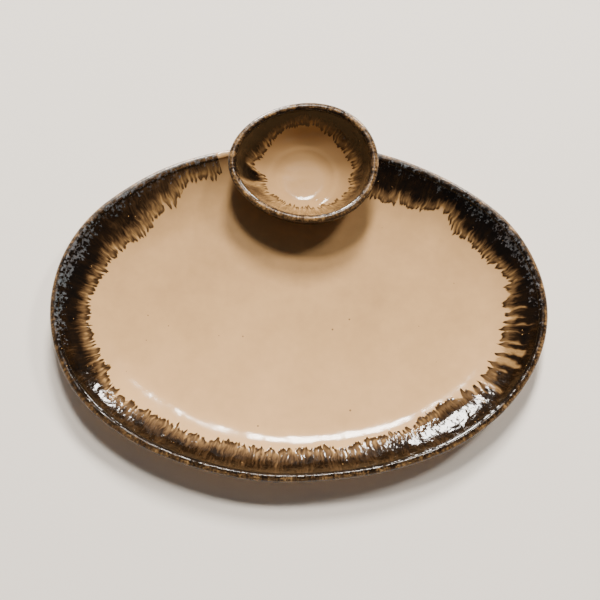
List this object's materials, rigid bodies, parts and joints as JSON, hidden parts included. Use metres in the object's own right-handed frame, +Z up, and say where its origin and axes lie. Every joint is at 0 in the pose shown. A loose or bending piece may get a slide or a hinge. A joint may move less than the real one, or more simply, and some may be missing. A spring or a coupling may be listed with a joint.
{
  "type": "chip and dip platter",
  "caption": "Oval stoneware serving platter with a flared wall and a beaded rim, a small oval dip bowl let into its back wall, and foot rings to stand on.",
  "frame": {"origin": "middle of the footprint's box on the plane of the foot rings", "axes": "+X along the platter's length, +Y towards the dip bowl, +Z up out of the dish"},
  "size_m": [0.35, 0.2716, 0.048],
  "materials": {
    "cream_glaze": "glossy warm cream glaze with faint iron specks",
    "dark_rim_glaze": "glossy dark brown glaze that breaks to amber on edges and runs down the wall, with blue-grey flecks",
    "bare_stoneware": "unglazed tan stoneware, slightly rough"
  },
  "bodies": {
    "root": {"platter_body": "cream_glaze", "platter_rim_bead": "dark_rim_glaze", "platter_foot_ring": "bare_stoneware", "dip_bowl": "cream_glaze", "bowl_rim_bead": "dark_rim_glaze", "bowl_foot_ring": "bare_stoneware", "inner_joint_coil": "cream_glaze", "outer_joint_coil": "cream_glaze"}
  },
  "joints": []
}
